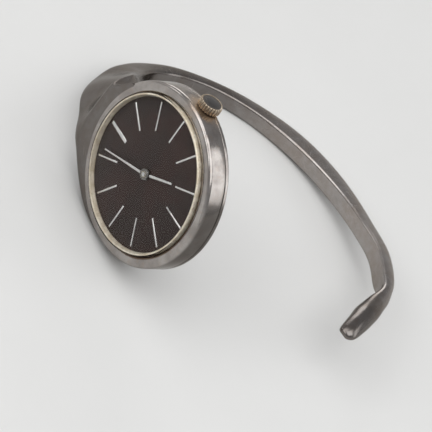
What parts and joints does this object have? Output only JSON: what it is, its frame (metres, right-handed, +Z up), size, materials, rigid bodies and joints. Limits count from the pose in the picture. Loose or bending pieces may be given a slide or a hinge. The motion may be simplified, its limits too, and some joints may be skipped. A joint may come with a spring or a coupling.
{
  "type": "wristwatch",
  "caption": "Round hand wound wristwatch on a one piece open bangle band that springs over the wrist, with crown, domed crystal and full movement.",
  "frame": {"origin": "middle of the flat outside face of the case back", "axes": "the watch lies on its nine side as it comes to rest: +Z up, -Y the way the dial faces within 7 degrees, -X toward twelve o'clock within 8 degrees"},
  "size_m": [0.0545, 0.0468, 0.0278],
  "materials": {
    "silver": "worn polished silver",
    "case_silver": "polished, lightly tarnished",
    "rubber": "matt",
    "crystal": "clear acrylic",
    "ring_brass": "pale gilt",
    "dial_paint": "dark brown black, satin",
    "marker_metal": "polished",
    "hand_metal": "polished",
    "movement_brass": "gilt",
    "movement_steel": "polished",
    "movement_plate": "nickel plated brass",
    "ring_plastic": "moulded nylon",
    "ruby": "synthetic ruby",
    "blued_steel": "blued"
  },
  "bodies": {
    "case": {"bangle": "silver", "case_middle": "case_silver", "case_back": "case_silver", "back_gasket": "rubber", "crystal": "crystal", "tension_ring": "ring_brass", "crown_tube": "case_silver", "dial": "dial_paint", "hour_markers": "marker_metal", "movement_ring": "ring_plastic", "main_plate": "movement_plate", "barrel_bridge": "movement_plate", "train_bridge": "movement_plate", "balance_cock": "movement_plate", "bridge_screws": "blued_steel", "jewels": "ruby", "wheel_screws": "blued_steel"},
    "minute": {"minute_hand": "hand_metal", "cannon_pinion": "movement_steel"},
    "hour": {"hour_hand": "hand_metal", "hour_wheel": "movement_brass"},
    "minute_gear": {"minute_wheel": "movement_brass"},
    "centre": {"centre_wheel": "movement_brass"},
    "barrel": {"barrel": "movement_brass", "mainspring": "movement_steel"},
    "third": {"third_wheel": "movement_brass"},
    "fourth": {"fourth_wheel": "movement_brass"},
    "escape": {"escape_wheel": "movement_steel"},
    "pallet": {"pallet_fork": "movement_steel", "pallet_stones": "ruby"},
    "balance": {"balance_wheel": "movement_brass", "hairspring": "blued_steel"},
    "winding": {"winding_pinion": "movement_steel"},
    "stem": {"winding_stem": "movement_steel", "crown": "case_silver", "crown_gasket": "rubber"},
    "clutch": {"sliding_pinion": "movement_steel"},
    "crown_gear": {"crown_wheel": "movement_steel"},
    "ratchet": {"ratchet_wheel": "movement_steel", "barrel_arbor": "movement_steel"},
    "click": {"click": "movement_steel"}
  },
  "joints": [
    {"name": "minute_turn", "type": "hinge", "parent": "case", "child": "minute", "pos_m": [0, -0.00213, 0.00028], "axis": [0, 0.9914, -0.1305], "continuous": true},
    {"name": "hour_turn", "type": "hinge", "parent": "case", "child": "hour", "pos_m": [0, -0.00213, 0.00028], "axis": [0, 0.9914, -0.1305], "continuous": true},
    {"name": "minute_gear_turn", "type": "hinge", "parent": "case", "child": "minute_gear", "pos_m": [0.00152, -0.00192, 0.00186], "axis": [0, 0.9914, -0.1305], "continuous": true},
    {"name": "fourth_turn", "type": "hinge", "parent": "case", "child": "fourth", "pos_m": [0.00405, -0.00243, -0.00197], "axis": [0, 0.9914, -0.1305], "continuous": true},
    {"name": "third_turn", "type": "hinge", "parent": "case", "child": "third", "pos_m": [0.00151, -0.00253, -0.00271], "axis": [0, 0.9914, -0.1305], "continuous": true},
    {"name": "centre_turn", "type": "hinge", "parent": "case", "child": "centre", "pos_m": [0, -0.00213, 0.00028], "axis": [0, 0.9914, -0.1305], "continuous": true},
    {"name": "barrel_turn", "type": "hinge", "parent": "case", "child": "barrel", "pos_m": [-0.00394, -0.00194, 0.00174], "axis": [0, 0.9914, -0.1305], "continuous": true},
    {"name": "escape_turn", "type": "hinge", "parent": "case", "child": "escape", "pos_m": [0.00362, -0.00215, 0.00014], "axis": [0, 0.9914, -0.1305], "continuous": true},
    {"name": "pallet_rock", "type": "hinge", "parent": "case", "child": "pallet", "pos_m": [0.0041, -0.00192, 0.00188], "axis": [0, 0.9914, -0.1305], "range_deg": [-6, 6]},
    {"name": "balance_swing", "type": "hinge", "parent": "case", "child": "balance", "pos_m": [0.00384, -0.00156, 0.0046], "axis": [0, 0.9914, -0.1305], "range_deg": [-270, 270], "stiffness_Nm_per_rad": 0.000000015},
    {"name": "crown_turn", "type": "hinge", "parent": "case", "child": "winding", "pos_m": [-0.00078, -0.00122, 0.00718], "axis": [-0.1115, 0.1297, 0.9853], "continuous": true},
    {"name": "stem_pull", "type": "slide", "parent": "winding", "child": "stem", "axis": [-0.1115, 0.1297, 0.9853], "range_m": [0, 0.0009]},
    {"name": "clutch_slide", "type": "slide", "parent": "winding", "child": "clutch", "axis": [-0.1115, 0.1297, 0.9853], "range_m": [-0.00045, 0]},
    {"name": "crown_gear_turn", "type": "hinge", "parent": "case", "child": "crown_gear", "pos_m": [-0.00057, -0.00147, 0.00534], "axis": [0, 0.9914, -0.1305], "continuous": true},
    {"name": "ratchet_turn", "type": "hinge", "parent": "case", "child": "ratchet", "pos_m": [-0.00394, -0.00194, 0.00174], "axis": [0, 0.9914, -0.1305], "continuous": true},
    {"name": "click_lift", "type": "hinge", "parent": "case", "child": "click", "pos_m": [-0.00573, -0.00237, -0.00155], "axis": [0, 0.9914, -0.1305], "range_deg": [0, 12]}
  ],
  "couplings": [
    {"joint": "hour_turn", "follows": "minute_turn", "ratio": 0.083333},
    {"joint": "minute_gear_turn", "follows": "minute_turn", "ratio": -0.33333},
    {"joint": "third_turn", "follows": "fourth_turn", "ratio": -0.13333},
    {"joint": "centre_turn", "follows": "fourth_turn", "ratio": 0.016667},
    {"joint": "barrel_turn", "follows": "fourth_turn", "ratio": -0.0027778},
    {"joint": "escape_turn", "follows": "fourth_turn", "ratio": -10},
    {"joint": "clutch_slide", "follows": "stem_pull", "ratio": -0.5},
    {"joint": "crown_gear_turn", "follows": "crown_turn", "ratio": -0.4},
    {"joint": "ratchet_turn", "follows": "crown_turn", "ratio": 0.32}
  ]
}
